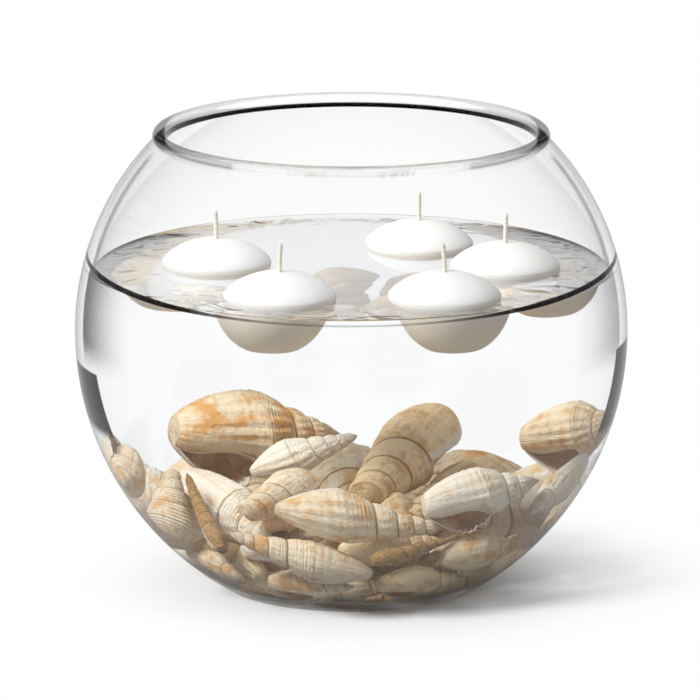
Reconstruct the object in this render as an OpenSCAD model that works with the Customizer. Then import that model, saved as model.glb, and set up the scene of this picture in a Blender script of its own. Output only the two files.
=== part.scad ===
// Floating candle bowl: a round glass bowl, part filled with water, with a bed of
// sea snail shells under the water and five disc candles floating on it.
// Origin: centre of the underside of the base. +Z is up, the viewer looks along +Y.

/* [Bowl] */
// Largest outer diameter of the glass
bowl_d = 225; // [225:1:250]
// Diameter of the flat foot, measured before its edge is eased
foot_d = 102.5; // [96:0.5:110]
// How far the lower half is drawn out below the widest line, towards a flatter foot
foot_spread = 9; // [7:0.5:11]
// Thickness of the glass wall
wall = 4; // [3:0.1:4.5]
// Thickness of the floor under the shells
floor_t = 7.5; // [6:0.1:8]
// Radius of the fillet between the floor and the wall, inside
floor_fillet = 8; // [4:0.5:10]
// Radius that the ground edge of the foot is eased with
foot_ease = 2; // [1:0.1:3]
// Diameter of the fire polished bead round the mouth
rim_bead_d = 5.2; // [4.8:0.1:6.5]
// Clear diameter of the mouth
mouth_d = 151; // [149:0.5:153]

/* [Water] */
// Height of the water level above the widest line of the bowl
water_rise = 25.7; // [22:0.1:30]
// Gap between the water and the wax of each candle
water_gap = 0.3; // [0.2:0.05:0.5]
// Gap between the water and the glass
film = 0.05; // [0.03:0.01:0.1]

/* [Candles] */
// Largest diameter of one candle
candle_d = 45; // [40:0.5:46]
// Height of the widest line of a candle above the water
float_h = 1.5; // [1:0.1:3]
// Height of the domed top above the widest line
dome_h = 9.5; // [7:0.5:12]
// Depth of the hull below the widest line
hull_h = 21; // [16:0.5:24]
// Diameter of the flat that the candle stands on when it is dry
candle_flat_d = 20; // [17:0.5:26]

/* [Wicks] */
// Diameter of the cotton wick
wick_d = 1.8; // [1.4:0.1:2.4]
// Length of wick that stands out of the dome
wick_free = 11.5; // [8:0.5:16]
// Radial gap between the wick and its hole
wick_gap = 0.05; // [0.03:0.01:0.1]
// Diameter of the tin tab that holds the wick at the bottom of the candle
tab_d = 12; // [10:0.5:15]
// Thickness of the tab's sheet
tab_t = 0.4; // [0.3:0.05:0.6]
// Outer diameter of the tab's crimped neck
neck_d = 3.4; // [3:0.1:4.5]
// Height of the neck above the sheet
neck_h = 3.5; // [2:0.5:5]

/* [Shells] */
// Size of every shell against the one drawn
shell_k = 1; // [0.94:0.01:1]
// Thickness of the lip round the mouth of a shell, as a share of the mouth
lip_share = 0.26; // [0.18:0.01:0.34]
// How far the mouth of a shell is hollowed, in degrees round its axis
mouth_turn = 40; // [20:5:60]

/* [Hidden] */
$fn = 96;
bowl_r = bowl_d / 2;
// Height of the widest line, so that the lower bowl ends in the foot
belly_z = sqrt(pow(bowl_r + foot_spread, 2) - pow(foot_d / 2 + foot_spread, 2));
// The bead runs round the mouth where the wall's outer face is as wide
bead_r = (mouth_d + rim_bead_d) / 2;
rim_z = belly_z + sqrt(pow(bowl_r, 2) - pow(bead_r, 2));
water_z = belly_z + water_rise;
// Room inside the glass against the 108.5 that the heap and the candles are laid out for
room = (bowl_r - wall) / 108.5;

// The five candles: name and place on the water, as seen from above
CANDLES = [
    ["front_left", [-28.5, -58]], ["front_right", [37, -58]], ["back_left", [-55, 8]],
    ["back_right", [28, 46]], ["right", [62.5, 0]]
];
PARTS_OF_A_CANDLE = ["candle_", "wick_", "wick_tab_"];

// Shell forms: width / length, share of the cone's length above the mouth's foot, growth of a
// whorl per turn, turns, bulge of a whorl, width of the canal / width, draw of the inner lip,
// point of the tip (1 is sharp, 0 is worn off flat)
WHELK = [0.56, 0.68, 1.46, 3.5, 0.08, 0.30, 0.50, 0.7];
SPINDLE = [0.34, 0.68, 1.34, 4.5, 0.09, 0.18, 0.45, 0.4];
TURRET = [0.40, 0.86, 1.19, 3.5, 0.05, 0.50, 0.45, 0.15];
AUGER = [0.20, 0.90, 1.19, 6.5, 0.06, 0.50, 0.40, 0.3];
TURBAN = [0.70, 0.84, 1.44, 3.5, 0.05, 0.45, 0.50, 0.35];

// Shells that show: name, form, foot, tip, turn of the mouth round the shell's axis.
// Heights are above the floor of the bowl.
PLACED = [
    ["shell_back_whelk", WHELK, [-53, 6, 65.5], [-2, 18, 62.5], -15],
    ["shell_left_broken", WHELK, [-66, 14, 56], [-84, -20, 43], 200],
    ["shell_left_turban", TURBAN, [-68, -36, 23.5], [-60, -28, 55.5], 135],
    ["shell_dark_auger", AUGER, [-50, -60, 23.5], [-55, -26, 54.5], 90],
    ["shell_white_holed", WHELK, [-52, -6, 50.5], [-27, -44, 30.5], -100],
    ["shell_small_spire", SPINDLE, [-31, -8, 54], [2, -14, 67], 150],
    ["shell_tan_bullet", TURRET, [-14, -25, 53], [-38, -54, 42], 90],
    ["shell_small_mouth", WHELK, [-3, -44, 44.5], [0, -12, 38.5], -60],
    ["shell_banded_turret", TURRET, [26, 12, 67.5], [4, -40, 48.5], 90],
    ["shell_second_turret", TURRET, [43, 5, 51], [18, -40, 38], 90],
    ["shell_right_ridged", WHELK, [62, 27, 41.5], [54, -10, 41.5], 90],
    ["shell_right_whelk", WHELK, [50, 15, 62], [89, 6, 65], -10],
    ["shell_right_white", WHELK, [85, -22, 54.5], [66, -50, 36.5], -90],
    ["shell_open_white", WHELK, [26, -61, 46], [70, -49, 51.5], -15],
    ["shell_front_spindle", SPINDLE, [-28, -70, 45.5], [33, -62, 36.5], 170],
    ["shell_lower_spindle", SPINDLE, [8, -67, 16.5], [-46, -64, 32.5], 0],
    ["shell_front_auger", AUGER, [8, -72, 23.5], [42, -66, 32.5], 170],
    ["shell_low_left", WHELK, [-40, -54, 25.5], [-12, -42, 25.5], -10],
    ["shell_low_right", WHELK, [34, -57, 23.5], [66, -36, 22.5], 150],
    ["shell_low_middle", WHELK, [-4, -48, 27], [33, -42, 31], 60],
    ["shell_low_corner", WHELK, [-58, -24, 20], [-40, -50, 10], 30],
    ["shell_under_left", WHELK, [-66, 26, 32], [-80, -8, 28], 200],
    ["shell_under_right", WHELK, [76, 16, 36], [70, -26, 28], -60],
    ["shell_low_front", WHELK, [10, -56, 12], [44, -46, 11], 40],
    ["shell_low_edge", WHELK, [-32, -48, 11], [2, -57, 10.5], 20]
];

// Beds of like shells under and behind the ones that show, laid round the bowl in rings:
// name, form, length, count, ring radius, height, first angle, step of the angle,
// lie of the axis off the ring (90 points the tip outwards), swing of every other shell
RINGS = [
    ["bed_floor", WHELK, 46, 7, 43, 14.5, -6, 32.5, -90, 8],
    ["bed_front", WHELK, 31, 3, 37, 11, 226, 47, 0, 0],
    ["bed_middle", WHELK, 52, 5, 62, 40, 40, 26, -90, 8],
    ["bed_core", WHELK, 38, 3, 15, 26, 40, 120, 20, 0]
];
function ring_name(r, i) = str(r[0], "_", i + 1);

// Quarter of a superellipse, from angle a0 (0 is the axis) to the widest line
function bow(r, h, n, m, a0, steps) = [for (i = [0 : steps]) let (a = a0 + (90 - a0) * i / steps)
    [r * pow(sin(a), 2 / n), h * pow(cos(a), 2 / m)]];

// Outline of a candle, grown by a given amount, its height measured from the widest line
function candle_outline(grow) =
    let (r = candle_d / 2 + grow, flat = candle_flat_d / 2 + grow, a0 = asin(pow(flat / r, 1.3)),
         deep = (hull_h + grow) / pow(cos(a0), 2 / 1.7), low = bow(r, -deep, 2.6, 1.7, a0, 9))
    concat(bow(r, dome_h + grow, 2, 1.35, 0, 9), [for (i = [8 : -1 : 0]) low[i]], [[0, -hull_h - grow]]);

// Length of a shell's whole cone, from its length down to the worn tip
function worn(f) = pow(f[2], -f[3]) * (1 - f[7]);
function cone_l(f, l) = l / (1 - f[1] * worn(f));

// Radius and height of one point of a shell's whorls: turns u up from the mouth
function coil_r(f, l, u) = f[0] * l / 2 * pow(f[2], -u);
function coil_z(f, l, u) = cone_l(f, l) * (1 - f[1] * pow(f[2], -u));
function swell(f, u, x) = 1 - f[4] + 2 * f[4] * sqrt(sin(180 * x));
function polar(r, a, z) = [r * cos(a), r * sin(a), z];

// A shell's whorl point: step k of n round the axis, row m of rows across the whorl
function whorl_pt(f, l, k, m, n, rows) =
    let (u = k / n + m / rows, first = k < n && m == 0,
         s = first ? swell(f, u, 0.5) : swell(f, u, m / rows))
    polar(coil_r(f, l, u) * s, 360 * k / n, coil_z(f, l, u));

// A point of the base under the last whorl: j of b rows down to the canal
function base_pt(f, l, k, j, n, b) =
    let (t = j / b, u = k / n, w = f[5] + (1 - f[5]) * pow(1 - pow(t, 1.6), 0.9),
         near = max(0, (u - 0.5) / 0.5), draw = 1 - f[6] * near * near * sin(180 * pow(t, 0.7)))
    polar(coil_r(f, l, u * (1 - t)) * swell(f, u, 0.5) * w * draw, 360 * k / n,
          coil_z(f, l, u) * (1 - t));

// A snail's shell from its foot at the origin to its tip at height l: n steps a turn, rows across
// a whorl, b rows on the base. The last step of the strip and the base leave the mouth open,
// which a lip and a hollow then close.
module snail(f, l, n, rows, b) {
    last = floor(f[3] * n);
    base_at = (last + 1) * rows;
    canal_at = base_at + (b - 1) * (n + 1);
    foot_at = canal_at + n;
    tip_at = foot_at + 1;
    lip_at = tip_at + 1;
    function w(k, m) = m < rows ? k * rows + m : (k + n) * rows;
    function v(j, k) = j == 0 ? w(k, 0) : j < b ? base_at + (j - 1) * (n + 1) + k : canal_at + k % n;
    mouth = concat([w(n, 0)], [for (m = [rows - 1 : -1 : 0]) w(0, m)], [for (j = [1 : b]) v(j, 0)],
                   [for (j = [b - 1 : -1 : 1]) v(j, n)]);
    e = len(mouth);
    outer = concat([for (k = [0 : last]) for (m = [0 : rows - 1]) whorl_pt(f, l, k, m, n, rows)],
                   [for (j = [1 : b - 1]) for (k = [0 : n]) base_pt(f, l, k, j, n, b)],
                   [for (k = [0 : n - 1]) base_pt(f, l, k, b, n, b)], [[0, 0, 0], [0, 0, l]]);
    c = [for (i = [0 : 2]) [for (q = mouth) 1] * [for (q = mouth) outer[q][i]] / e];
    lip = [for (q = mouth) c + (1 - lip_share) * (outer[q] - c)];
    hollow = [for (q = mouth) let (p = c + 0.62 * (1 - lip_share) * (outer[q] - c))
              polar(p[0] * 0.92, mouth_turn, p[2])];
    pts = concat(outer, lip, hollow, [polar(c[0] * 0.92, mouth_turn, c[2])]);
    top = concat([for (k = [last - n : last]) w(k, rows - 1)], [for (m = [rows - 2 : -1 : 0]) w(last, m)]);
    faces = concat(
        [for (k = [0 : last - 1]) for (m = [0 : rows - 1]) if (m < rows - 1 || k + 1 + n <= last)
            for (t = [[w(k, m), w(k, m + 1), w(k + 1, m + 1)], [w(k, m), w(k + 1, m + 1), w(k + 1, m)]]) t],
        [for (i = [0 : len(top) - 1]) [top[i], tip_at, top[(i + 1) % len(top)]]],
        [for (j = [0 : b - 1]) for (k = [0 : n - 1])
            for (t = [[v(j + 1, k), v(j, k), v(j, k + 1)], [v(j + 1, k), v(j, k + 1), v(j + 1, k + 1)]]) t],
        [for (k = [0 : n - 1]) [v(b, k), v(b, k + 1), foot_at]],
        [for (i = [0 : e - 1]) let (o = (i + 1) % e) for (t = [
            [mouth[i], mouth[o], lip_at + o], [mouth[i], lip_at + o, lip_at + i],
            [lip_at + i, lip_at + o, lip_at + e + o], [lip_at + i, lip_at + e + o, lip_at + e + i],
            [lip_at + e + i, lip_at + e + o, lip_at + 2 * e]]) t]);
    polyhedron(points = pts, faces = faces, convexity = 8);
}

// Sets a shell with its foot and its tip at the two given points
module lay(foot, tip, turn) {
    d = tip - foot;
    translate(foot) rotate([0, acos(d[2] / norm(d)), atan2(d[1], d[0])]) rotate([0, 0, turn]) children();
}

module placed(p) {
    l = norm(p[3] - p[2]) * room * shell_k;
    color("wheat") translate([0, 0, floor_t]) lay(p[2] * room, p[3] * room, p[4]) snail(p[1], l, 10, 3, 3);
}

// Half section of the bowl's outer form, drawn in by a given amount
module body_2d(inset) {
    intersection() {
        translate([0, belly_z]) circle(bowl_r - inset);
        translate([0, belly_z]) square([bowl_d, rim_z - belly_z]);
    }
    intersection() {
        translate([-foot_spread, belly_z]) circle(bowl_r + foot_spread - inset);
        square([bowl_d, belly_z]);
    }
}

// Half section of the lower bowl, flat at the given height, with a round corner to the wall
module footed_2d(inset, base, ease) {
    r = bowl_r + foot_spread - inset;
    corner = [-foot_spread + sqrt(pow(r - ease, 2) - pow(belly_z - base - ease, 2)), base + ease];
    hub = [-foot_spread, belly_z];
    touch = hub + r * (corner - hub) / norm(corner - hub);
    difference() {
        body_2d(inset);
        square([bowl_d, touch[1]]);
    }
    translate(corner) circle(ease);
    translate([0, base]) square([corner[0], touch[1] - base + ease / 2]);
}

module glass_bowl() {
    color("lightblue", 0.3) rotate_extrude() {
        difference() {
            footed_2d(0, 0, foot_ease);
            footed_2d(wall, floor_t, floor_fillet);
            translate([0, belly_z]) square([mouth_d / 2, rim_z]);
        }
        translate([mouth_d / 2 + rim_bead_d / 2, rim_z]) circle(rim_bead_d / 2);
    }
}

module water() {
    color("azure", 0.3) difference() {
        rotate_extrude() intersection() {
            footed_2d(wall + film, floor_t + film, floor_fillet);
            square([bowl_d, water_z]);
        }
        for (c = CANDLES) afloat(c[1]) rotate_extrude() polygon(candle_outline(water_gap));
    }
}

// Puts a piece drawn about a candle's widest line in its place on the water
module afloat(place) {
    translate([place[0] * room, place[1] * room, water_z + float_h]) children();
}

module candle(place) {
    color("white") afloat(place) difference() {
        rotate_extrude() polygon(candle_outline(0));
        translate([0, 0, -2 * hull_h]) cylinder(r = wick_d / 2 + wick_gap, h = 2 * (hull_h + dome_h));
        translate([0, 0, -hull_h - tab_t]) cylinder(r = tab_d / 2 + wick_gap, h = 2 * tab_t + wick_gap);
        translate([0, 0, -hull_h]) cylinder(r = neck_d / 2 + wick_gap, h = tab_t + neck_h + wick_gap);
    }
}

module wick(place) {
    color("ivory") afloat(place) translate([0, 0, -hull_h + wick_gap])
        cylinder(r = wick_d / 2, h = hull_h + dome_h + wick_free - wick_gap);
}

module wick_tab(place) {
    color("silver") afloat(place) translate([0, 0, -hull_h]) difference() {
        union() {
            cylinder(r = tab_d / 2, h = tab_t);
            cylinder(r = neck_d / 2, h = tab_t + neck_h);
        }
        translate([0, 0, -tab_t]) cylinder(r = wick_d / 2 + wick_gap, h = neck_h + 3 * tab_t);
    }
}

// One shell of a ring, its tip swung a little off the ring's own lie
module bedded(r, i) {
    a = r[6] + r[7] * i;
    l = r[2] * room * shell_k;
    color("tan") translate(polar(r[4] * room, a, floor_t + r[5] * room))
        rotate([0, 90, a + 90 - r[8] + r[9] * (i % 2 == 0 ? 1 : -1)])
        rotate([0, 0, 50 * i]) translate([0, 0, -l / 2]) snail(r[1], l, 8, 2, 3);
}

glass_bowl();
water();
for (c = CANDLES) {
    candle(c[1]);
    wick(c[1]);
    wick_tab(c[1]);
}
for (p = PLACED) placed(p);
for (r = RINGS) for (i = [0 : r[3] - 1]) bedded(r, i);
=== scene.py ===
# %% [markdown]
# # A floating candle bowl
#
# A round glass bowl stands on a pale table. It is filled with water to two thirds of its height,
# holds a heap of sea snail shells and has five white disc candles floating on the water. The
# solids come from the part's own construction; this lesson dresses them. It begins by loading
# those solids as a fixed frame, because every piece made here has to sit exactly where its solid
# sits.

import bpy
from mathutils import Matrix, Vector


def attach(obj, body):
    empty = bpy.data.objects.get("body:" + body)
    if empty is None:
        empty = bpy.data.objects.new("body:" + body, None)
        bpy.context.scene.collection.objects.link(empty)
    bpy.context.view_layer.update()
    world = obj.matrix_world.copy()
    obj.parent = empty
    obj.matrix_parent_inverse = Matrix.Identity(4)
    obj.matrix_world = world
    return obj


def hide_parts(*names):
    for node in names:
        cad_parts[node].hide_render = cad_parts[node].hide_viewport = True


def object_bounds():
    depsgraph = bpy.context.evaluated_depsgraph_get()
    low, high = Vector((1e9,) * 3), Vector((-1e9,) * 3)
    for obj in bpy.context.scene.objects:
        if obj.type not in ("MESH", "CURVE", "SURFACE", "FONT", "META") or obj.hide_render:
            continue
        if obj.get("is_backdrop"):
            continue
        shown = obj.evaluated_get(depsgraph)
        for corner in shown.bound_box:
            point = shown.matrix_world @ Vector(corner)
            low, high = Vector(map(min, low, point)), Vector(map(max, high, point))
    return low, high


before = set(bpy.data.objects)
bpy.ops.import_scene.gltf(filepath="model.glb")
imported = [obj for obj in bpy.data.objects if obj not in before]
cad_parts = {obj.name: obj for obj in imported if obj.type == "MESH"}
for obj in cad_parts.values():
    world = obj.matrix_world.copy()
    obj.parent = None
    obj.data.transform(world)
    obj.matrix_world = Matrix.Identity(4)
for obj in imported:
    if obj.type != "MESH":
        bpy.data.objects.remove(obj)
cad_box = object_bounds()
print("nodes in the frame:", len(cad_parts))

# %% [markdown]
# ## Tools of the lesson
#
# A mesh can be modelled by hand, with modifiers or from arrays of points. Glass, wax and shells
# all follow a rule here (a profile that is turned, or a coil that grows), so arrays are the
# shortest and most exact way. Each mesh is made in world coordinates, in metres, with its object
# at the origin, as the frame's own nodes are.

# %% Meshes from arrays
import math
import bpy
import numpy as np
from mathutils import Vector

MM = 0.001
BOWL_SIDES = 256      # round the bowl and the water


def mesh_piece(name, points, faces, material, crease=60, marks=None):
    """A smooth mesh object; marks are numbers kept on its points for the shaders to read."""
    mesh = bpy.data.meshes.new(name)
    mesh.from_pydata([tuple(p) for p in points], [], faces)
    mesh.update()
    mesh.shade_smooth()
    mesh.set_sharp_from_angle(angle=math.radians(crease))
    for mark, values in (marks or {}).items():
        layer = mesh.attributes.new(mark, "FLOAT", "POINT")
        layer.data.foreach_set("value", np.asarray(values, dtype=np.float32))
    mesh.materials.append(material)
    piece = bpy.data.objects.new(name, mesh)
    bpy.context.scene.collection.objects.link(piece)
    return piece


def arc(centre, radius, start, end, steps):
    """Points of a circle in the half section, angles in degrees from the outward direction."""
    a = np.radians(np.linspace(start, end, steps))
    return np.column_stack([centre[0] + radius * np.cos(a), centre[1] + radius * np.sin(a)])


ON_AXIS = 1e-7        # a point nearer to the axis than this lies on it


def turned(profile, segments):
    """Points and faces of a half section turned round the Z axis; ends on the axis are closed."""
    profile = np.asarray(profile)
    a = 2 * np.pi * np.arange(segments) / segments
    inner = [i for i, (r, z) in enumerate(profile) if r > ON_AXIS]
    rings = np.stack([np.stack([profile[i, 0] * np.cos(a), profile[i, 0] * np.sin(a),
                                np.full(segments, profile[i, 1])], 1) for i in inner])
    points = rings.reshape(-1, 3)
    faces, extra = [], []
    nxt = np.roll(np.arange(segments), -1)
    for k in range(len(inner) - 1):
        lo, hi = k * segments, (k + 1) * segments
        for j in range(segments):
            faces.append((lo + j, lo + int(nxt[j]), hi + int(nxt[j]), hi + j))
    for end, ring in ((0, 0), (len(profile) - 1, len(inner) - 1)):
        if profile[end, 0] <= ON_AXIS:
            tip = len(points) + len(extra)
            extra.append([0, 0, profile[end, 1]])
            for j in range(segments):
                a0, a1 = ring * segments + j, ring * segments + int(nxt[j])
                faces.append((tip, a1, a0) if end == 0 else (tip, a0, a1))
    if extra:
        points = np.vstack([points, extra])
    return points, faces


print("meshes can be made from arrays")

# %% [markdown]
# ## Shaders as expressions
#
# Finishes are mixed from masks: one minus a mask, one mask times another. Written as nodes that
# is long and hard to read, so one small class wraps a socket and lets Python's own operators add
# the Math nodes. Every other node comes from its one method, which takes the node's type, its
# settings and what goes into its sockets.

# %% A socket that can be reckoned with


class Wire:
    """One output of a shader node."""

    def __init__(self, tree, socket=None):
        self.tree, self.socket = tree, socket

    def node(self, kind, settings=None, sockets=None, out=0):
        made = self.tree.nodes.new("ShaderNode" + kind)
        for name, value in (settings or {}).items():
            setattr(made, name, value)
        for name, value in (sockets or {}).items():
            if isinstance(value, Wire):
                self.tree.links.new(value.socket, made.inputs[name])
            else:
                made.inputs[name].default_value = value
        return Wire(self.tree, made.outputs[out])

    def reckon(self, operation, *others):
        values = [self if o is None else o for o in others]
        return self.node("Math", {"operation": operation}, dict(enumerate(values)))

    def __add__(self, other):
        return self.reckon("ADD", None, other)

    def __sub__(self, other):
        return self.reckon("SUBTRACT", None, other)

    def __rsub__(self, other):
        return self.reckon("SUBTRACT", other, None)

    def __mul__(self, other):
        return self.reckon("MULTIPLY", None, other)

    def __truediv__(self, other):
        return self.reckon("DIVIDE", None, other)

    __radd__, __rmul__ = __add__, __mul__

    def rise(self, start, end):
        """0 below start, 1 above end and smooth between; start may lie above end."""
        lo, hi, low, high = (start, end, 0.0, 1.0) if start < end else (end, start, 1.0, 0.0)
        return self.node("MapRange", {"interpolation_type": "SMOOTHSTEP"}, {
            "Value": self, "From Min": lo, "From Max": hi, "To Min": low, "To Max": high})

    def most(self, other):
        return self.reckon("MAXIMUM", None, other)

    def tint(self, low, high):
        """Colour low where this is 0 and high where it is 1."""
        low, high = (v if isinstance(v, Wire) else (*v, 1) for v in (low, high))
        return self.node("Mix", {"data_type": "RGBA"}, {0: self, 6: low, 7: high}, out=2)

    def noise(self, place, scale, **more):
        """Soft noise at a place in space; more names the node's other sockets."""
        sockets = {"Vector": place, "Scale": scale} | {k.title(): v for k, v in more.items()}
        return self.node("TexNoise", None, sockets)


def finish(name, shade, seen=(0.8, 0.8, 0.8)):
    """A material; shade gets a Wire to start from and gives back the one that shows."""
    material = bpy.data.materials.new(name)
    material.use_nodes = True
    material.diffuse_color = (*seen, 1)
    tree = material.node_tree
    tree.nodes.clear()
    surface = shade(Wire(tree))
    output = tree.nodes.new("ShaderNodeOutputMaterial")
    tree.links.new(surface.socket, output.inputs["Surface"])
    return material


def clear_to_light(w, body):
    """Lets the lamps' light through a clear body, which would else throw a solid shadow."""
    shadow = w.node("LightPath", out=1)
    passing = w.node("BsdfTransparent", None, {"Color": (0.985, 0.99, 0.99, 1)})
    return w.node("MixShader", None, {0: shadow, 1: body, 2: passing})


print("tools are ready")

# %% [markdown]
# ## The bowl's glass
#
# The real bowl is blown: a sphere of 225 mm, drawn out a little towards a flat foot, with a wall
# of 4 mm, a thicker floor and a fire polished bead round the mouth. A turned profile gives it in
# one closed skin, which matters for glass: light must bend once on its way into the wall and once
# on its way out. The mesh is much finer than the solid's, because every facet would show.

# %% The bowl's profile
BOWL = 112.5          # radius at the widest line
SPREAD = 9.0          # how far the lower half is drawn out
WALL = 4.0
FLOOR = 7.5
FILLET = 8.0          # between floor and wall, inside
EASE = 2.0            # ground edge of the foot
FOOT = 51.25          # radius of the foot
BEAD = 2.6            # radius of the rim bead
MOUTH = 75.5          # radius
BELLY = math.sqrt((BOWL + SPREAD) ** 2 - (FOOT + SPREAD) ** 2)
BEAD_R = MOUTH + BEAD
RIM = BELLY + math.sqrt(BOWL ** 2 - BEAD_R ** 2)
WATER = BELLY + 25.7  # water level
print("widest line %.2f, rim %.2f, water level %.2f mm" % (BELLY, RIM, WATER))


def lower_half(inset, base, ease, steps=90):
    """Flat, round corner and drawn out lower wall, from the axis up to the widest line."""
    r = BOWL + SPREAD - inset
    corner = (-SPREAD + math.sqrt((r - ease) ** 2 - (BELLY - base - ease) ** 2), base + ease)
    touch = math.degrees(math.atan2(corner[1] - BELLY, corner[0] + SPREAD))
    flat = [(0, base)] + [(corner[0] * t, base) for t in (0.25, 0.5, 0.75, 0.92)]
    return np.vstack([flat, arc(corner, ease, -90, touch, 14),
                      arc((-SPREAD, BELLY), r, touch, 0, steps)[1:]])


def upper_half(inset, top_angle, steps=60):
    return arc((0, BELLY), BOWL - inset, 0, top_angle, steps)[1:]


bead_angle = math.degrees(math.atan2(RIM - BELLY, BEAD_R))
meet = bead_angle - math.degrees(2 * math.asin(BEAD / 2 / BOWL))
inner_top = math.degrees(math.acos(MOUTH / (BOWL - WALL)))
outside = np.vstack([lower_half(0, 0, EASE), upper_half(0, meet)])
bead = arc((BEAD_R, RIM), BEAD, bead_angle - 90.6, 180, 28)[1:]
inside = np.vstack([lower_half(WALL, FLOOR, FILLET), upper_half(WALL, inner_top)])[::-1]
glass_profile = np.vstack([outside, bead, inside]) * MM
print("glass profile has", len(glass_profile), "points")

# %% [markdown]
# ## How glass looks on white
#
# Clear glass before a white ground shows only by its edges: there the wall bends in light from
# the dark sides of the studio. Those dark sides can't be built into this scene, because every
# view round the bowl has a white ground. The dark edges are therefore painted shade, put into the
# colour of the glass's outer skin: it depends on how steeply the surface is met (Layer Weight) and
# on the height, and leans a little to the left, where the studio was darker. Above the water the
# painted shade is one thin line. Below, a painted grey band gets darker towards the edge, and lower
# still there is a painted black wedge with a sharp inner side and a cut off top. The water's edge
# is a painted dark line that climbs and thickens towards the sides. Bead and foot bend light so
# often that they would turn black, so about half of the light goes straight through them.

# %% Glass
# Heights and shares of the painted shade on the glass's edges
SIDE_CLIMB = 8.0                    # how far the water's line climbs towards the sides
GREY_BAND = (96, 110)               # heights over which the grey band appears
WEDGE_FOOT, WEDGE_TOP = (68, 74), (101.5, 100.5)
FAINT = (0.99, 0.994, 0.994)        # what clear glass lets through at each skin
# painted shade: the dark colour the glass takes at its painted edges
PAINTED_DARK = (0.0004, 0.0004, 0.0005)      # what is left where the dark studio shows


def glass_shade(w):
    facing = w.node("LayerWeight", None, {"Blend": 0.5}, out=1)
    spot = w.node("TexCoord", out=3)
    height = w.node("SeparateXYZ", None, {0: spot}, out=2) / MM
    side = w.node("SeparateXYZ", None, {0: spot}, out=0) / (BOWL * MM)
    outer = w.node("Attribute", {"attribute_name": "outer"}, out=2)
    front = (1.0 - w.node("NewGeometry", out=6)) * outer
    level = height - WATER - facing * SIDE_CLIMB + 0.1
    above = level.rise(-0.6, 0.6)
    under = 1.0 - above
    # Painted shade: each mask below darkens the glass's colour where the dark studio would show
    line = facing.rise(0.68, 0.715) * facing.rise(0.76, 0.73) * above
    line = line * height.rise(RIM - 3, RIM - 8) * 0.45
    grey = facing.rise(0.77, 0.755) * facing.rise(0.38, 0.80) * under * height.rise(*GREY_BAND)
    grey = grey * (0.74 - side * 0.18)
    shift = facing - side * 0.042
    wedge = shift.rise(0.680, 0.692) * facing.rise(1.30, 0.78) * height.rise(*WEDGE_FOOT)
    wedge = wedge * (height - side * 4.5).rise(*WEDGE_TOP) * under * 0.97
    edge = level / (facing.rise(0.02, 0.34) * 0.75 + 0.5)
    waterline = edge.rise(-1.0, -0.7) * edge.rise(1.0, 0.7) * facing.rise(-0.15, 0.22) * 0.97
    left = 1.0 - line.most(grey).most(wedge).most(waterline) * front
    body = w.node("BsdfPrincipled", None, {
        "Base Color": (left * left).tint(PAINTED_DARK, FAINT), "Roughness": 0.0, "IOR": 1.5,
        "Transmission Weight": 1.0, "Specular Tint": (0.2, 0.2, 0.2, 1)})
    straight = w.node("BsdfTransparent", None, {"Color": (*FAINT, 1)})
    thick = height.rise(RIM - 2.5, RIM - 0.5) * 0.55 + height.rise(10, 3) * 0.65
    return clear_to_light(w, w.node("MixShader", None, {0: thick, 1: body, 2: straight}))


clear_glass = finish("clear_glass", glass_shade, (0.9, 0.95, 0.96))
points, faces = turned(glass_profile, BOWL_SIDES)
lift = points[:, 2] / MM - BELLY
spread = np.where(lift < 0, SPREAD, 0)
reach = np.hypot(np.hypot(points[:, 0], points[:, 1]) / MM + spread, lift)
outer = (reach > BOWL + spread - 0.5) | (points[:, 2] < MM)
bowl_glass = mesh_piece("bowl_glass", points, faces, clear_glass, crease=40, marks={"outer": outer})
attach(bowl_glass, "bowl")
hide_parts("glass_bowl")
print("glass:", len(points), "points")

# %% [markdown]
# ## The water
#
# Water wets the glass, so nothing but a bend of light marks where one ends and the other starts.
# A gap between the two skins would show as a silver mirror. The water's skin therefore lies two
# tenths of a millimetre inside the wall, which gives the light the same path as a true contact.
# At the wall the surface climbs a little, as it does in a real bowl. Small waves near the wall
# break up the picture of the shells there, and the surface gleams where it is seen at a low angle.

# %% Water
SOAK = 0.2            # how far the water's skin lies inside the wall
CLIMB = 1.5           # rise of the water at the wall
CLIMB_WIDTH = 9.0     # width of the ring in which it climbs
CLIMB_FADE = 1.9      # length in which the climb falls away
WAVES = (140, 172)    # distances from the foot's centre over which the waves begin


def water_shade(w):
    spot = w.node("TexCoord", out=3)
    upward = w.node("SeparateXYZ", None, {0: w.node("NewGeometry", out=3)}, out=2)
    far = w.node("VectorMath", {"operation": "LENGTH"}, {0: spot}, out=1) / MM
    swirl = w.noise(spot, 50.0, detail=1.0, distortion=1.5)
    flat = upward.rise(0.9, 0.99)
    ripple = w.node("Bump", None, {"Strength": 0.8, "Distance": 3.5 * MM,
                                   "Height": swirl * far.rise(*WAVES) * flat})
    body = w.node("BsdfPrincipled", None, {
        "Base Color": (0.985, 0.992, 1.0, 1), "Roughness": 0.0, "IOR": 1.333,
        "Transmission Weight": 1.0, "Normal": ripple})
    gleam = w.node("BsdfAnisotropic", None, {
        "Color": (0.78, 0.78, 0.79, 1), "Roughness": 0.02, "Normal": ripple})
    grazing = w.node("LayerWeight", None, {"Blend": 0.5}, out=1).rise(0.45, 0.78)
    top = flat * (1.0 - w.node("NewGeometry", out=6)) * grazing * 0.4
    return clear_to_light(w, w.node("MixShader", None, {0: top, 1: body, 2: gleam}))


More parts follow.
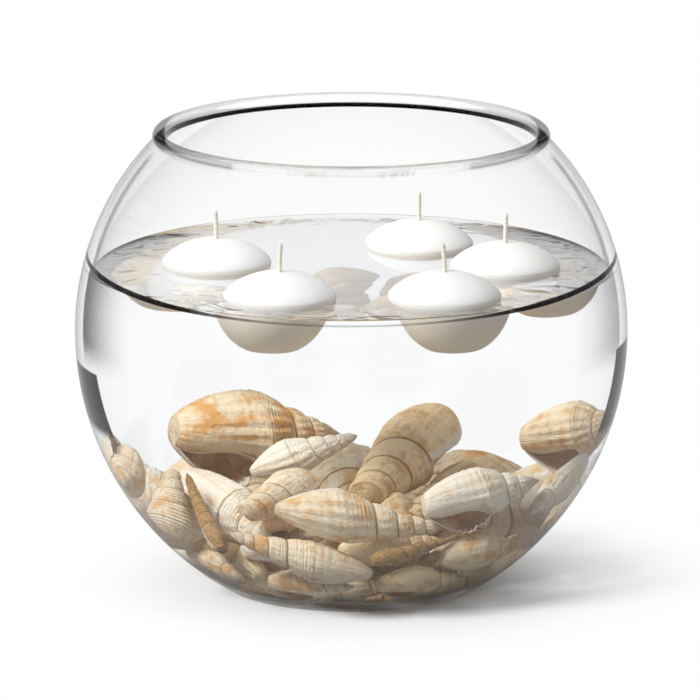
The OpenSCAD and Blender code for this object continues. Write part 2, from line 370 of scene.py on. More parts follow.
water_finish = finish("still_water", water_shade, (0.85, 0.93, 0.97))
wet = WALL - SOAK
top_angle = math.degrees(math.asin((WATER + CLIMB - BELLY) / (BOWL - wet)))
wall_side = np.vstack([lower_half(wet, FLOOR - SOAK, FILLET), upper_half(wet, top_angle, 24)])
edge_r = wall_side[-1, 0]
reach = np.linspace(0, 1, 26)[1:]
inwards = CLIMB_WIDTH * reach ** 1.6
skin = np.column_stack([edge_r - inwards, WATER + CLIMB * np.exp(-inwards / CLIMB_FADE)])
skin[:, 1] -= CLIMB * math.exp(-CLIMB_WIDTH / CLIMB_FADE) * reach ** 2
calm = [(r, WATER) for r in (80, 60, 40, 20, 0)]
points, faces = turned(np.vstack([wall_side, skin, calm]) * MM, BOWL_SIDES)
water_body = mesh_piece("water_body", points, faces, water_finish, crease=40)
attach(water_body, "bowl")
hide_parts("water")
print("water:", len(points), "points, edge at %.1f mm" % edge_r)

# %% [markdown]
# ## The candles
#
# Each candle is a disc of white wax with a domed top and a deep round hull, cast in a mould. Two
# quarters of a superellipse give that outline, the same as in the solid. Wax lets a little light
# in, which softens its shading, so the finish scatters light below the surface. The hull and the
# dome's lower edge are painted darker and warmer: painted shade, warmed as by light from the shells.

# %% Wax and wicks
CANDLES = {"front_left": (-28.5, -58), "front_right": (37, -58), "back_left": (-55, 8),
           "back_right": (28, 46), "right": (62.5, 0)}
CANDLE_R, DOME, HULL, FLAT_R = 22.5, 9.5, 21.0, 10.0    # dome above, hull below, flat under it
WIDEST = WATER + 1.5  # the widest line floats above the water
HULL_BOW = (2.6, 1.7) # powers of the hull's outline, sideways and downwards


def bow(r, h, n, m, start, steps):
    """A quarter of a superellipse of width r and height h, with powers n and m."""
    a = np.radians(np.linspace(start, 90, steps))
    return np.column_stack([r * np.sin(a) ** (2 / n), h * np.maximum(np.cos(a), 1e-9) ** (2 / m)])


def wax_shade(w):
    spot = w.node("TexCoord", out=3)
    height = w.node("SeparateXYZ", None, {0: spot}, out=2) / MM
    cloud, grain = w.noise(spot, 90.0, detail=3.0), w.noise(spot, 900.0, detail=2.0)
    # Painted shade: the hull and the dome's lower edge are darkened and warmed towards the bottom
    hull_shade = (height + cloud * 3.0).rise(4.5, -12.0)
    colour = hull_shade.tint((0.92, 0.915, 0.90), (0.86, 0.77, 0.63))
    bump = w.node("Bump", None, {"Strength": 0.08, "Distance": 0.4 * MM,
                                 "Height": cloud * 2.0 + grain * 0.3})
    return w.node("BsdfPrincipled", None, {
        "Base Color": colour, "Roughness": 0.42, "Normal": bump, "Subsurface Weight": 0.6,
        "Subsurface Radius": (0.012, 0.009, 0.006), "Subsurface Scale": 0.8, "IOR": 1.44})


def cotton_shade(w):
    fibre = w.noise(w.node("TexCoord", out=3), 1400.0, detail=3.0)
    colour = fibre.rise(0.35, 0.7).tint((0.93, 0.90, 0.84), (0.78, 0.70, 0.58))
    return w.node("BsdfPrincipled", None, {"Base Color": colour, "Roughness": 0.75})


def tin_shade(w):
    scuff = w.noise(w.node("TexCoord", out=3), 700.0, detail=3.0)
    return w.node("BsdfPrincipled", None, {
        "Base Color": (0.75, 0.75, 0.74, 1), "Metallic": 1.0, "Roughness": scuff * 0.3 + 0.2})


wax, cotton, tin = (finish(name, shade) for name, shade in (
    ("wax", wax_shade), ("cotton", cotton_shade), ("tin", tin_shade)))
start_angle = math.degrees(math.asin((FLAT_R / CANDLE_R) ** (HULL_BOW[0] / 2)))
deep = HULL / math.cos(math.radians(start_angle)) ** (2 / HULL_BOW[1])
dome = bow(CANDLE_R, DOME, 2, 1.35, 0, 40)
hull = bow(CANDLE_R, -deep, *HULL_BOW, start_angle, 40)
candle_profile = np.vstack([[(0, -HULL)], hull[:-1], dome[::-1]])
candle_profile[-1] = (0, DOME)
print("candle profile has", len(candle_profile), "points")

# %% [markdown]
# The wick is a plaited cotton cord, stiff with wax and never quite straight. A tube with three
# soft lobes, twisted along its length and leaning a little, catches light as a plait does.

# %% The wick
WICK_R = 0.86
SINGED = 0.94         # share of the free length above which the tip narrows


def wick_mesh(top, bottom, lean, sides=18, steps=70):
    """Points and faces of a plaited cord whose free end leans over by lean."""
    points = []
    for z in np.linspace(bottom, top, steps):
        out = max(0.0, z - DOME) / (top - DOME)
        r = WICK_R * (1 - 0.35 * max(0.0, out - SINGED) / 0.06)
        for k in range(sides):
            a = 2 * math.pi * k / sides
            lobe = 1 + 0.13 * math.cos(3 * (a - z * 1.1)) + 0.04 * math.cos(6 * (a + z * 1.1))
            points.append((r * lobe * math.cos(a) + lean[0] * out ** 1.6,
                           r * lobe * math.sin(a) + lean[1] * out ** 1.6, z))
    faces = []
    for i in range(steps - 1):
        lo, hi = i * sides, (i + 1) * sides
        faces += [(lo + k, lo + (k + 1) % sides, hi + (k + 1) % sides, hi + k)
                  for k in range(sides)]
    faces += [tuple(range(sides))[::-1], tuple((steps - 1) * sides + k for k in range(sides))]
    return np.array(points), faces


print("a wick is %.2f mm thick" % (2 * WICK_R))

# %% Make the five candles
WICK_OUT = 11.4       # length of the wick above the wax
rng = np.random.default_rng(7)
for name, (x, y) in CANDLES.items():
    body = "candle_" + name
    points, faces = turned(candle_profile, 128)
    a = np.arctan2(points[:, 1], points[:, 0])
    wobble = 1 + 0.0022 * np.sin(2 * a + rng.uniform(0, 6))
    wobble = wobble + 0.0016 * np.sin(3 * a + rng.uniform(0, 6))
    points[:, :2] *= wobble[:, None] * 0.996
    r = np.hypot(points[:, 0], points[:, 1])
    points[:, 2] -= np.where(points[:, 2] > 0, 0.5 * np.exp(-(r / 2.2) ** 2), 0)
    disc = mesh_piece(name + "_wax", points * MM, faces, wax)
    points, faces = wick_mesh(DOME + WICK_OUT, -HULL + 0.1, rng.uniform(-0.9, 0.9, 2))
    wick = mesh_piece(name + "_cotton", points * MM, faces, cotton)
    for made, node in ((disc, body), (wick, "wick_" + name)):
        made.location = Vector((x, y, WIDEST)) * MM
        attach(made, body)
        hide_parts(node)
    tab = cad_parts["wick_tab_" + name]
    tab.data.materials.clear()
    tab.data.materials.append(tin)
print("candles:", ", ".join(CANDLES))

# %% [markdown]
# ## The shape of a sea snail's shell
#
# A snail lays its shell down at the mouth, in a coil that grows by the same share each turn, so
# one formula gives every kind: the width, how fast it grows, how many turns, how much each whorl
# bulges. A strip is wound from the mouth to the tip, closed below by the drawn in base and
# its canal, and the mouth is sunk into the body. The coarse solids use the same formula; here it
# gets many more steps, and relief: ribs along the axis, cords round the whorls, a flared lip,
# wear and small holes.

# %% The forms
# Each form: width, share of the height taken by the coil, growth a turn, turns, bulge of a whorl,
# width of the canal, how far the base is drawn in by the mouth, and sharpness of the tip.
WHELK = (0.56, 0.68, 1.46, 3.5, 0.08, 0.30, 0.50, 0.7)
SPINDLE = (0.34, 0.68, 1.34, 4.5, 0.09, 0.18, 0.45, 0.4)
TURRET = (0.40, 0.86, 1.19, 3.5, 0.05, 0.50, 0.45, 0.15)
AUGER = (0.20, 0.90, 1.19, 6.5, 0.06, 0.50, 0.40, 0.3)
TURBAN = (0.70, 0.84, 1.44, 3.5, 0.05, 0.45, 0.50, 0.35)

# Each ring that leads into the mouth: its size, its swing in degrees and its pull to the axis.
MOUTH_RINGS = [(0.965, -1.5, 1.0), (0.92, 0.0, 1.0), (0.87, 6, 0.99), (0.84, 14, 0.98),
               (0.78, 24, 0.96), (0.68, 36, 0.94), (0.50, 48, 0.92), (0.25, 56, 0.92)]
LIP = 0.03            # turns over which the lip flares
BODY_FADE = 0.3       # turns over which the body whorl gets its lower seam
SEAM = 0.035          # half width of a seam, as a share of the whorl
LOW = 0.04            # place across the whorl from which the base takes its relief
RIB_FADE = 0.6        # power by which ribs fade towards the seams
FINE_RIBS = (23, 37, 61, 83)
print("shell forms: whelk, spindle, turret, auger, turban")

# %% How a shell grows


def smooth(x):
    x = np.clip(x, 0, 1)
    return x * x * (3 - 2 * x)


class Snail:
    """The rule of one shell: turns count from the mouth, x goes across a whorl from 0 to 1."""

    def __init__(self, form, length, look, seed):
        self.width, self.share, self.growth, self.turns = form[:4]
        self.bulge, self.canal, self.draw, point = form[4:]
        self.ribs, self.cords, self.rib_depth, self.cord_depth, self.flare, wear = look
        self.length = length
        self.cone = length / (1 - self.share * self.growth ** -self.turns * (1 - point))
        draws = np.random.default_rng(seed)
        self.phases = draws.uniform(0, 2 * np.pi, 12)
        self.ragged = draws.uniform(0, 2 * np.pi, 2)
        self.holes = [(draws.uniform(0.05, 2.2), draws.uniform(0.2, 0.8), draws.uniform(0.035, 0.06))
                      for _ in range(wear)]

    def radius(self, u):
        return self.width * self.length / 2 * self.growth ** -u

    def height(self, u):
        return self.cone * (1 - self.share * self.growth ** -u)

    def swell(self, x):
        return 1 - self.bulge + 2 * self.bulge * np.sqrt(np.sin(np.pi * x))

    def lip(self, turn, shape):
        return 1 + self.flare * np.exp(-turn / LIP) * shape

    def relief(self, turn, x, strength, fade=1.0):
        """Share by which the surface stands out, and how much a hole has opened it."""
        phases = self.phases
        rib = np.abs(np.cos(np.pi * self.ribs * turn + 1.2 * (x - 0.5) + phases[0])) ** 1.5 - 0.5
        cord = np.cos(2 * np.pi * self.cords * x)
        fine = sum(np.sin(2 * np.pi * f * turn + p + 2 * x)
                   for f, p in zip(FINE_RIBS, phases[1:])) / 4
        dull = sum(np.sin(f * (turn * 6.3) + g * x * 6.3 + p)
                   for f, g, p in zip((2, 3, 5), (1, -2, 1), phases[5:])) / 3
        out = self.rib_depth * rib * strength * fade + self.cord_depth * cord * fade
        out = out + 0.004 * fine + 0.010 * dull
        opened = np.zeros_like(out)
        for hole_turn, hole_x, size in self.holes:
            d = np.hypot((turn - hole_turn) * 2.6, (x - hole_x) * 0.5) / size
            opened = np.maximum(opened, 1 - smooth((d - 0.75) / 0.5))
        return 1 + out - 0.13 * opened, opened


def wound(turn, r, z):
    """Points at distance r from the axis, so many turns round it and at height z."""
    return np.stack([r * np.cos(2 * np.pi * turn), r * np.sin(2 * np.pi * turn), z], -1)


print("a shell's rule is ready")

# %% Whorls and base


def whorls(snail, n, rows):
    """The wound strip with n steps a turn and rows across, and its marks."""
    k, m = np.meshgrid(np.arange(int(snail.turns * n) + 1), np.arange(rows), indexing="ij")
    turn, x = k / n, m / rows
    u = turn + x
    first, low_half = k < n, (k < n) & (x < 0.5)
    blend = smooth((1 - turn) / BODY_FADE)
    whorl, full = snail.swell(x), snail.swell(np.maximum(x, 0.5))
    swell = np.where(first, blend * full + (1 - blend) * whorl, whorl)
    swell = np.where(first & (m == 0), 1 + snail.bulge, swell)
    strength = np.sin(np.pi * np.maximum(x, LOW)) ** RIB_FADE
    strength = np.where(low_half, blend + (1 - blend) * strength, strength)
    relief, opened = snail.relief(turn, np.where(first, np.maximum(x, LOW), x), strength)
    torn = (1 + 0.35 * np.sin(13 * x + snail.ragged[0])
            + 0.3 * np.sin(31 * x + snail.ragged[1]))
    r = snail.radius(u) * swell * relief * snail.lip(turn, torn)
    seam = np.exp(-(np.minimum(x, 1 - x) / SEAM) ** 2) * np.where(low_half, 0, 1)
    marks = np.stack([turn, x, seam, opened], -1)
    return wound(turn, r, snail.height(u)).reshape(-1, 3), marks.reshape(-1, 4)


def drawn_base(snail, n, b):
    """The base in b rings below the first whorl, t from 0 above to 1 at the canal; its marks."""
    j, k = np.meshgrid(np.arange(1, b + 1), np.arange(n + 1), indexing="ij")
    t, turn = j / b, k / n
    waist = snail.canal + (1 - snail.canal) * (1 - t ** 1.6) ** 0.9
    near = np.maximum(0, (turn - 0.5) / 0.5)
    drawn = 1 - snail.draw * near ** 2 * np.sin(np.pi * t ** 0.7)
    blend = smooth((1 - turn) / BODY_FADE)
    strength = blend + (1 - blend) * math.sin(LOW * math.pi) ** RIB_FADE
    relief, opened = snail.relief(turn, LOW + 0 * t, strength, (1 - t) ** 0.8)
    relief = relief + snail.cord_depth * (np.cos(2 * np.pi * snail.cords * t) - 1) * (1 - t)
    r = snail.radius(turn * (1 - t)) * (1 + snail.bulge) * waist * drawn * relief
    r = r * snail.lip(turn, 1 - t)
    marks = np.stack([turn, 0.5 - 0.5 * t, 0 * t, opened], -1)
    return wound(turn, r, snail.height(turn) * (1 - t)), marks


print("whorls and base are ready")

# %% Mouth and whole shell


def sunk_mouth(outer, rim_at):
    """Rings of points from the rim down into the shell, with their faces and marks."""
    rim = outer[rim_at]
    centre, e = rim.mean(0), len(rim_at)
    rings, faces, marks, previous = [], [], [], rim_at
    for scale, swing, pull in MOUTH_RINGS:
        ring = centre + scale * (rim - centre)
        a = math.radians(swing)
        here = len(outer) + e * len(rings)
        rings.append(np.column_stack([ring[:, 0] * pull * math.cos(a),
                                      ring[:, 0] * pull * math.sin(a), ring[:, 2]]))
        inside = min(1.0, max(0.0, (0.93 - scale) / 0.1))
        marks.append(np.column_stack([np.zeros(e), np.full(e, scale), np.zeros(e),
                                      np.full(e, inside)]))
        faces += [(here + i, here + (i + 1) % e, previous[(i + 1) % e], previous[i])
                  for i in range(e)]
        previous = [here + i for i in range(e)]
    faces.append(tuple(previous[::-1]))
    return rings, faces, marks


def shell_mesh(form, length, n, rows, b, look, seed):
    """Points, faces and marks of one shell, foot at the origin and tip at height length."""
    snail = Snail(form, length, look, seed)
    last = int(snail.turns * n)
    strip, strip_marks = whorls(snail, n, rows)
    base, base_marks = drawn_base(snail, n, b)
    outer = np.vstack([strip, base[:-1].reshape(-1, 3), base[-1, :n],
                       [[0, 0, 0], [0, 0, length]]])
    base_at = len(strip)
    canal_at = base_at + (b - 1) * (n + 1)
    foot_at = canal_at + n

    def on_strip(k, m):
        return k * rows + m if m < rows else (k + n) * rows

    def on_base(j, k):
        if j == 0:
            return on_strip(k, 0)
        return base_at + (j - 1) * (n + 1) + k if j < b else canal_at + k % n

    faces = [(on_strip(k + 1, m), on_strip(k + 1, m + 1), on_strip(k, m + 1), on_strip(k, m))
             for k in range(last) for m in range(rows) if m < rows - 1 or k + 1 + n <= last]
    faces += [(on_base(j + 1, k + 1), on_base(j, k + 1), on_base(j, k), on_base(j + 1, k))
              for j in range(b) for k in range(n)]
    faces += [(foot_at, on_base(b, k + 1), on_base(b, k)) for k in range(n)]
    top = [on_strip(k, rows - 1) for k in range(last - n, last + 1)]
    top += [on_strip(last, m) for m in range(rows - 2, -1, -1)]
    faces += [(top[(i + 1) % len(top)], foot_at + 1, top[i]) for i in range(len(top))]
    rim_at = [on_strip(n, 0)] + [on_strip(0, m) for m in range(rows - 1, -1, -1)]
    rim_at += [on_base(j, 0) for j in range(1, b + 1)]
    rim_at += [on_base(j, n) for j in range(b - 1, 0, -1)]
    rings, mouth_faces, mouth_marks = sunk_mouth(outer, rim_at)
    marks = [strip_marks, base_marks[:-1].reshape(-1, 4), base_marks[-1, :n],
             [[0, 0, 0, 0], [snail.turns, 0.5, 0, 0]]] + mouth_marks
    return np.vstack([outer] + rings), faces + mouth_faces, np.vstack(marks)


print("a shell's mesh is ready")

# %% [markdown]
# ## Shell finishes
#
# Beach shells are chalky: the sun has bleached them to cream, with tan left in patches, in
# streaks along the growth lines and in the seams between the whorls. The inside of the mouth
# keeps its orange brown. Each shell carries four marks on its points (turn, place across the
# whorl, seam, inside), so that streaks can follow the coil, and noise in space adds the patches. A
# fifth mark, the same all over a shell, moves the noise on, so that no two shells are alike.

# %% Shell finishes
SHELL_MARKS = ("turn", "across", "seam", "inside", "own")
LIP_WHITE = (0.93, 0.90, 0.84)
THROAT = ((0.88, 0.76, 0.60), (0.66, 0.38, 0.15))


def shell_shade(ground, stain, seam, patches, streaks, seam_share):
    """A finish from three colours and the shares of patches, streaks and seam."""
    def shade(w):
        spot = w.node("TexCoord", out=3)
        turn, across, in_seam, inside, own = (
            w.node("Attribute", {"attribute_name": name}, out=2) for name in SHELL_MARKS)
        apart = w.node("CombineXYZ", None, {0: own, 1: own * 1.7, 2: own * 0.6})
        place = w.node("VectorMath", {"operation": "ADD"}, {0: spot, 1: apart})
        cloud = w.noise(place, 95.0, detail=4.0, roughness=0.6)
        grain = w.noise(place, 900.0, detail=3.0, roughness=0.7)
        along = w.node("CombineXYZ", None, {0: turn * 13.0, 1: across * 1.3, 2: own})
        growth = w.noise(along, 1.6, detail=3.0, roughness=0.6)
        round_it = w.node("CombineXYZ", None, {0: turn * 2.0, 1: across * 12.0, 2: own})
        lines = w.noise(round_it, 1.4, detail=2.0)
        cords = (across * 56.5 + growth * 2.0).reckon("SINE").rise(-0.2, -1.0)
        patch = cloud.rise(0.62 - 0.25 * patches, 0.80 - 0.25 * patches)
        streak = (growth * 0.65 + lines * 0.35).rise(0.47, 0.66) * streaks
        colour = patch.most(streak).tint(ground, stain)
        colour = (cords * streaks * 0.45).tint(colour, stain)
        colour = (in_seam * seam_share).tint(colour, seam)
        colour = (grain.rise(0.58, 0.74) * 0.45).tint(colour, stain)
        colour = (turn.rise(0.05, 0.01) * 0.75).tint(colour, LIP_WHITE)
        throat = (inside * cloud.rise(0.3, 0.6)).tint(*THROAT)
        colour = inside.rise(0.35, 0.9).tint(colour, throat)
        height = grain * 0.5 + growth * 0.9 + lines * 0.4 - cords * 0.5
        bump = w.node("Bump", None, {"Strength": 0.9, "Distance": 1.2 * MM, "Height": height})
        return w.node("BsdfPrincipled", None, {
            "Base Color": colour, "Roughness": 0.6, "Normal": bump, "Specular IOR Level": 0.4})
    return shade


FINISHES = {name: finish("shell_" + name, shell_shade(*values)) for name, values in {
    "chalk": ((0.96, 0.88, 0.75), (0.88, 0.60, 0.30), (0.54, 0.29, 0.10), 0.35, 0.60, 0.55),
    "cream": ((0.95, 0.82, 0.61), (0.83, 0.48, 0.19), (0.44, 0.22, 0.07), 0.50, 0.80, 0.80),
    "ribbed": ((0.95, 0.80, 0.56), (0.80, 0.42, 0.13), (0.40, 0.19, 0.055), 0.60, 1.00, 0.85),
    "tan": ((0.97, 0.75, 0.46), (0.72, 0.42, 0.17), (0.32, 0.15, 0.045), 0.55, 0.90, 0.95),
    "brown": ((0.55, 0.33, 0.14), (0.30, 0.15, 0.05), (0.10, 0.05, 0.015), 0.50, 0.90, 0.95),
    "beige": ((0.92, 0.75, 0.50), (0.76, 0.45, 0.18), (0.38, 0.19, 0.06), 0.55, 0.70, 0.75),
}.items()}
print("finishes:", ", ".join(FINISHES))

# %% [markdown]
# ## The shells that show
#
# Each shell has its foot and its tip where the solid has them. The table gives, for every shell,
# its form, the two points, the turn of its mouth, its finish and its relief: ribs a turn, cords
# across a whorl, depth of each, flare of the lip and number of worn holes.

# %% Table of the shells
SHELLS = {
    "back_whelk": (WHELK, (-53, 6, 65.5), (-2, 18, 62.5), -15, "ribbed", (18, 9, 0.07, 0.016, 0.12, 0)),
    "left_broken": (WHELK, (-66, 14, 56), (-84, -20, 43), 200, "cream", (32, 10, 0.02, 0.012, 0.08, 1)),
    "left_turban": (TURBAN, (-68, -36, 23.5), (-60, -28, 55.5), 135, "cream", (36, 5, 0.012, 0.032, 0.03, 1)),
    "dark_auger": (AUGER, (-50, -60, 23.5), (-55, -26, 54.5), 90, "brown", (22, 3, 0.035, 0.022, 0.02, 0)),
    "white_holed": (WHELK, (-52, -6, 50.5), (-27, -44, 30.5), -100, "chalk", (12, 7, 0.05, 0.014, 0.1, 3)),
    "small_spire": (SPINDLE, (-31, -8, 54), (2, -14, 67), 150, "chalk", (11, 6, 0.06, 0.012, 0.05, 1)),
    "tan_bullet": (TURRET, (-14, -25, 53), (-38, -54, 42), 90, "cream", (30, 3, 0.01, 0.008, 0.02, 1)),
    "small_mouth": (WHELK, (-3, -44, 44.5), (0, -12, 38.5), -60, "chalk", (14, 6, 0.04, 0.012, 0.1, 0)),
    "banded_turret": (TURRET, (26, 12, 67.5), (4, -40, 48.5), 90, "tan", (34, 4, 0.012, 0.01, 0.02, 0)),
    "second_turret": (TURRET, (43, 5, 51), (18, -40, 38), 90, "tan", (34, 5, 0.012, 0.014, 0.02, 0)),
    "right_ridged": (WHELK, (62, 27, 41.5), (54, -10, 41.5), 90, "chalk", (14, 8, 0.07, 0.026, 0.05, 0)),
    "right_whelk": (WHELK, (50, 15, 62), (89, 6, 65), -10, "ribbed", (17, 9, 0.07, 0.016, 0.12, 0)),
    "right_white": (WHELK, (85, -22, 54.5), (66, -50, 36.5), -90, "chalk", (13, 8, 0.05, 0.016, 0.12, 1)),
    "open_white": (WHELK, (26, -61, 46), (70, -49, 51.5), -15, "chalk", (13, 8, 0.055, 0.014, 0.14, 1)),
    "front_spindle": (SPINDLE, (-28, -70, 45.5), (33, -62, 36.5), 170, "cream", (12, 7, 0.06, 0.012, 0.03, 0)),
    "lower_spindle": (SPINDLE, (8, -67, 16.5), (-46, -64, 32.5), 0, "cream", (15, 8, 0.035, 0.014, 0.06, 1)),
    "front_auger": (AUGER, (8, -72, 23.5), (42, -66, 32.5), 170, "brown", (20, 3, 0.045, 0.014, 0.02, 0)),
    "low_left": (WHELK, (-40, -54, 25.5), (-12, -42, 25.5), -10, "chalk", (12, 7, 0.03, 0.014, 0.1, 0)),
    "low_right": (WHELK, (34, -57, 23.5), (66, -36, 22.5), 150, "beige", (14, 8, 0.04, 0.016, 0.06, 1)),
    "low_middle": (WHELK, (-4, -48, 27), (33, -42, 31), 60, "beige", (14, 8, 0.04, 0.016, 0.06, 1)),
    "low_corner": (WHELK, (-58, -24, 20), (-40, -50, 10), 30, "cream", (16, 8, 0.035, 0.016, 0.06, 1)),
    "under_left": (WHELK, (-66, 26, 32), (-80, -8, 28), 200, "beige", (18, 9, 0.03, 0.014, 0.06, 0)),
    "under_right": (WHELK, (76, 16, 36), (70, -26, 28), -60, "cream", (18, 9, 0.03, 0.014, 0.06, 1)),
    "low_front": (WHELK, (10, -56, 12), (44, -46, 11), 40, "beige", (14, 8, 0.04, 0.016, 0.06, 1)),
    "low_edge": (WHELK, (-32, -48, 11), (2, -57, 10.5), 20, "cream", (14, 8, 0.04, 0.016, 0.06, 1)),
}
print("shells in the table:", len(SHELLS))

# %% [markdown]
# A shell is made upright and then turned into its place. Ribs and a flared lip reach a little
# past the coarse solid, so points that would end up in the wall are moved back to where they
# touch the glass.

# %% Turns and the wall


def turn_z(degrees):
    c, s = math.cos(math.radians(degrees)), math.sin(math.radians(degrees))
    return np.array([[c, -s, 0], [s, c, 0], [0, 0, 1]])


def turn_y(degrees):
    c, s = math.cos(math.radians(degrees)), math.sin(math.radians(degrees))
    return np.array([[c, 0, s], [0, 1, 0], [-s, 0, c]])


def kept_off_the_glass(points, gap=0.25):
    """Moves points that would reach into the wall or the floor back to where they touch it."""
    r = np.maximum(np.hypot(points[:, 0], points[:, 1]), 1e-6)
    z = points[:, 2] - BELLY
    reach = BOWL + SPREAD - WALL - gap
    far = np.hypot(r + SPREAD, z)
    over = (far > reach) & (z < 0)
    moved = points.copy()
    k = reach / far
    new_r = (r + SPREAD) * k - SPREAD
    moved[over, 0] *= (new_r / r)[over]
    moved[over, 1] *= (new_r / r)[over]
    moved[over, 2] = (BELLY + z * k)[over]
    moved[:, 2] = np.maximum(moved[:, 2], FLOOR + gap)
    return moved


def shell_piece(name, points, faces, marks, finish_name, own):
    """A shell's mesh in its place; own tells its noise from that of the others."""
    named = dict(zip(SHELL_MARKS, marks.T)) | {"own": np.full(len(marks), 1.37 * own)}
    points = kept_off_the_glass(points) * MM
    return mesh_piece(name, points, faces, FINISHES[finish_name], marks=named)


def make_shell(node, points, faces, marks, finish_name, own):
    """The shell that stands in for a node's solid."""
    name = node.replace("shell_", "") + "_shell"
    piece = shell_piece(name, points, faces, marks, finish_name, own)
    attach(piece, "bowl")
    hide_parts(node)


print("shells can be placed")

# %% Place the shells
HAND_STEPS = (120, 32, 30)    # steps a turn, across a whorl and down the base
HAND_SEED = 11
for seed, (name, shell) in enumerate(SHELLS.items(), HAND_SEED):
    form, foot, tip, turn, finish_name, look = shell
    foot, tip = (np.array(end, float) + (0, 0, FLOOR) for end in (foot, tip))
    d = tip - foot
    length = float(np.linalg.norm(d))
    pose = (turn_z(math.degrees(math.atan2(d[1], d[0])))
            @ turn_y(math.degrees(math.acos(d[2] / length))) @ turn_z(turn))
    points, faces, marks = shell_mesh(form, length, *HAND_STEPS, look, seed)
    make_shell("shell_" + name, points @ pose.T + foot, faces, marks, finish_name, seed)
print("shells placed by hand:", len(SHELLS))

# %% [markdown]
# ## The beds below and behind
#
# The heap goes on under and behind the shells that show. Those lie in rings by a rule, with every
# other one swung, and get fewer steps because they are half hidden.

# %% Lay the beds
# Name, length, count, radius of the ring, height over the floor, angle of the first shell and
# step to the next, how it lies to the ring, and the swing.
BEDS = [
    ("bed_floor", 46, 7, 43, 14.5, -6, 32.5, -90, 8),
    ("bed_front", 31, 3, 37, 11, 226, 47, 0, 0),
    ("bed_middle", 52, 5, 62, 40, 40, 26, -90, 8),
    ("bed_core", 38, 3, 15, 26, 40, 120, 20, 0),
]
BED_LOOKS = [("cream", (18, 7, 0.030, 0.012, 0.06, 1)), ("beige", (14, 6, 0.020, 0.016, 0.06, 1)),
             ("chalk", (22, 8, 0.025, 0.008, 0.06, 0)), ("ribbed", (20, 9, 0.032, 0.008, 0.06, 0))]
BED_STEPS = (80, 14, 20)
BED_SEED = 60
seed = BED_SEED
for name, length, count, ring, height, first, step, lie, swing in BEDS:
    for i in range(count):
        a = first + step * i
        angle = math.radians(a)
        centre = np.array([ring * math.cos(angle), ring * math.sin(angle), FLOOR + height])
        heading = a + 90 - lie + swing * (1 if i % 2 == 0 else -1)
        pose = turn_z(heading) @ turn_y(90) @ turn_z(50 * i)
        finish_name, look = BED_LOOKS[seed % len(BED_LOOKS)]
        points, faces, marks = shell_mesh(WHELK, length, *BED_STEPS, look, seed)
        points = (points - (0, 0, length / 2)) @ pose.T + centre
        make_shell("%s_%d" % (name, i + 1), points, faces, marks, finish_name, seed)
        seed += 1
print("shells in the beds:", seed - BED_SEED)

# %% [markdown]
# ## Crumbs between the shells
#
# A scoop of beach shells always brings small ones, which work their way into the gaps. Here they
# are 14 to 24 mm long and have no solid of their own: they lie still between the larger shells.

# %% Fill the gaps
CRUMBS = [(-23, -38, 46), (-19, -30, 41), (27, -40, 31), (31, -34, 33), (14, -40, 12),
          (8, -36, 16), (-37, -44, 27), (-33, -38, 31), (14, -28, 46), (-6, -28, 47),
          (-8, -40, 15), (44, -38, 24), (-46, -32, 33), (52, -26, 34), (14, -34, 53),
          (35, -42, 26), (38, -36, 28), (11, 50, 12), (16, 44, 16), (56, 32, 27)]
CRUMB_KINDS = ((WHELK, "tan"), (TURRET, "beige"))
CRUMB_LOOK = (14, 3, 0.04, 0.01, 0.05, 0)
CRUMB_STEPS = (40, 10, 12)
CRUMB_SEED = 90
for i, centre in enumerate(CRUMBS):
    form, finish_name = CRUMB_KINDS[i % 2]
    length = 19 + 5 * math.sin(2.3 * i)
    pose = turn_z(137 * i) @ turn_y(70 + 25 * math.sin(1.7 * i)) @ turn_z(80 * i)
    points, faces, marks = shell_mesh(form, length, *CRUMB_STEPS, CRUMB_LOOK, CRUMB_SEED + i)
    points = (points - (0, 0, length / 2)) @ pose.T + centre
    crumb = shell_piece("crumb_%d" % (i + 1), points, faces, marks, finish_name, i)
    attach(crumb, "bowl")
print("crumbs:", len(CRUMBS))

# %% [markdown]
# ## Table, light and camera
#
# The photograph is a plain studio shot: everything round the bowl is white, the light is broad
# and soft and comes mostly from the upper left, and the bowl throws one pale shadow to the right.
# The floor is a real matt surface near the bowl, so that it takes that shadow, and turns into the
# white of the background further out. What the glass mirrors is darker than the white that shows
# straight or through it, because a real studio is dark behind the camera. The camera stands far
# off and a little above the rim.

# %% Which rays see the background


def background_rays(w):
    """Whether the eye sees the background, straight or by glass; in a mirror; through glass."""
    camera, glossy, mirrored, through, bounces = (
        w.node("LightPath", out=name) for name in (
            "Is Camera Ray", "Is Glossy Ray", "Is Reflection Ray", "Is Transmission Ray",
            "Diffuse Depth"))
    by_eye = bounces.reckon("LESS_THAN", None, 0.5)
    return camera.most(glossy).most(through) * by_eye, mirrored * by_eye, through


print("background: seen straight, in a mirror, through glass")

# %% The table
MATT, MATT_IN_MIRROR = (0.93, 0.93, 0.935), (0.2325, 0.2325, 0.23375)
WHITE_IN_MIRROR = 0.5
TABLE_RINGS = (0, 0.2, 1, 6)  # radii in metres
TABLE_DROP = 0.05 * MM        # the bowl stands this little above it


def floor_shade(w):
    spot = w.node("TexCoord", out=3)
    away = w.node("VectorMath", {"operation": "LENGTH"}, {0: spot}, out=1)
    seen, mirrored, through = background_rays(w)
    share = away.rise(0.04, 0.165).most(through * away.rise(0.02, 0.10))

    def top(white_share, colour, glow):
        matt = w.node("BsdfDiffuse", None, {"Color": (*colour, 1)})
        white = w.node("Emission", None, {"Color": (1, 1, 1, 1), "Strength": glow})
        return w.node("MixShader", None, {0: white_share, 1: matt, 2: white})

    plain = top(share * seen, MATT, 1.0)
    in_mirror = top(share, MATT_IN_MIRROR, WHITE_IN_MIRROR)
    return w.node("MixShader", None, {0: mirrored, 1: plain, 2: in_mirror})


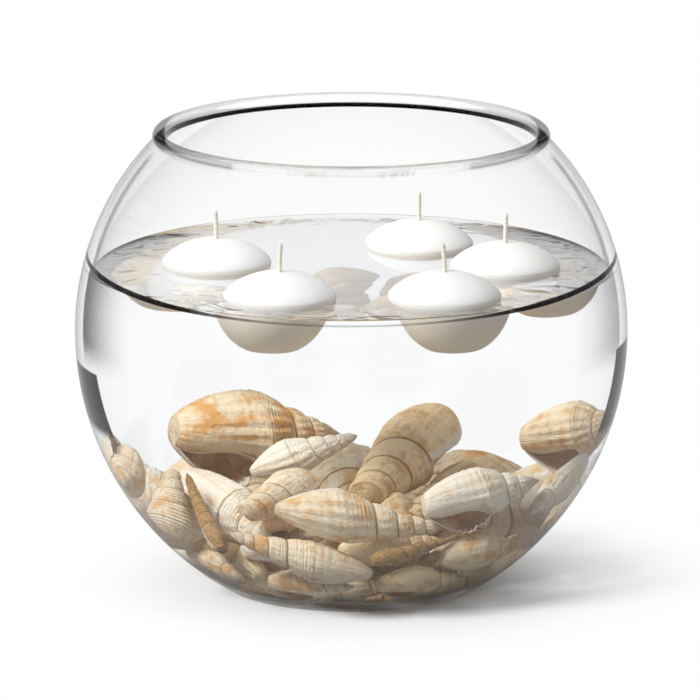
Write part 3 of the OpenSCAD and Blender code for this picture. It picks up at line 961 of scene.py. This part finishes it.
floor_finish = finish("white_table", floor_shade)
points, faces = turned([(r, 0) for r in TABLE_RINGS], 64)
table = mesh_piece("table_top", points - (0, 0, TABLE_DROP), faces, floor_finish)
table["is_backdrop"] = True
print("the table is", TABLE_RINGS[-1], "m in radius")

# %% The studio round it
LIT, WHITE, SKY_IN_MIRROR = 0.31, 1.0, 0.2
world = bpy.data.worlds.new("studio")
bpy.context.scene.world = world
world.use_nodes = True
world.node_tree.nodes.clear()
air = Wire(world.node_tree)
seen, mirrored, _ = background_rays(air)
lit, white, in_mirror = (
    air.node("Background", None, {"Color": (1, 1, 1, 1), "Strength": strength})
    for strength in (LIT, WHITE, SKY_IN_MIRROR))
white = air.node("MixShader", None, {0: mirrored, 1: white, 2: in_mirror})
shown = air.node("MixShader", None, {0: seen, 1: lit, 2: white})
sky = world.node_tree.nodes.new("ShaderNodeOutputWorld")
world.node_tree.links.new(shown.socket, sky.inputs["Surface"])
print("the studio lights with strength", LIT)

# %% Soft lamps
# Place in metres, width and power.
LAMPS = {"key": ((-1.3, -0.9, 1.5), 0.8, 46.0), "fill": ((1.5, -1.2, 1.1), 1.2, 5.0),
         "top": ((0.1, 0.5, 1.9), 1.2, 6.5)}
LIT_POINT = Vector((0, 0, 0.08))
for name, (place, size, power) in LAMPS.items():
    lamp = bpy.data.lights.new(name, "AREA")
    lamp.shape, lamp.size, lamp.energy = "DISK", size, power
    holder = bpy.data.objects.new(name, lamp)
    holder.location = place
    holder.visible_camera = holder.visible_glossy = holder.visible_transmission = False
    holder.rotation_euler = (LIT_POINT - Vector(place)).to_track_quat("-Z", "Y").to_euler()
    bpy.context.scene.collection.objects.link(holder)
print("lamps:", ", ".join(LAMPS))

# %% Camera
FOCUS = 8587.0        # focal length in pixels of the frame
FRAME = 700.0         # width of the frame in pixels
SENSOR = 36.0
DISTANCE = 3.5
tilt = math.radians(12.6)
aim = Vector((-0.00053, 0, 0.0971))
back = Vector((0, -math.cos(tilt), math.sin(tilt)))
lens = bpy.data.cameras.new("camera")
lens.sensor_width = SENSOR
lens.lens = SENSOR * FOCUS / FRAME
lens.clip_start, lens.clip_end = 0.1, 50.0
camera = bpy.data.objects.new("camera", lens)
camera.location = aim + back * DISTANCE
camera.rotation_euler = (-back).to_track_quat("-Z", "Y").to_euler()
bpy.context.scene.collection.objects.link(camera)
bpy.context.scene.camera = camera
bpy.context.scene.view_settings.view_transform = "Standard"
print("camera at", tuple(round(c, 3) for c in camera.location), "lens %.1f mm" % lens.lens)

# %% Sizes
new_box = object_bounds()
for name, box in (("CAD box", cad_box), ("visual box", new_box)):
    print(name, [[round(v, 4) for v in corner] for corner in box])
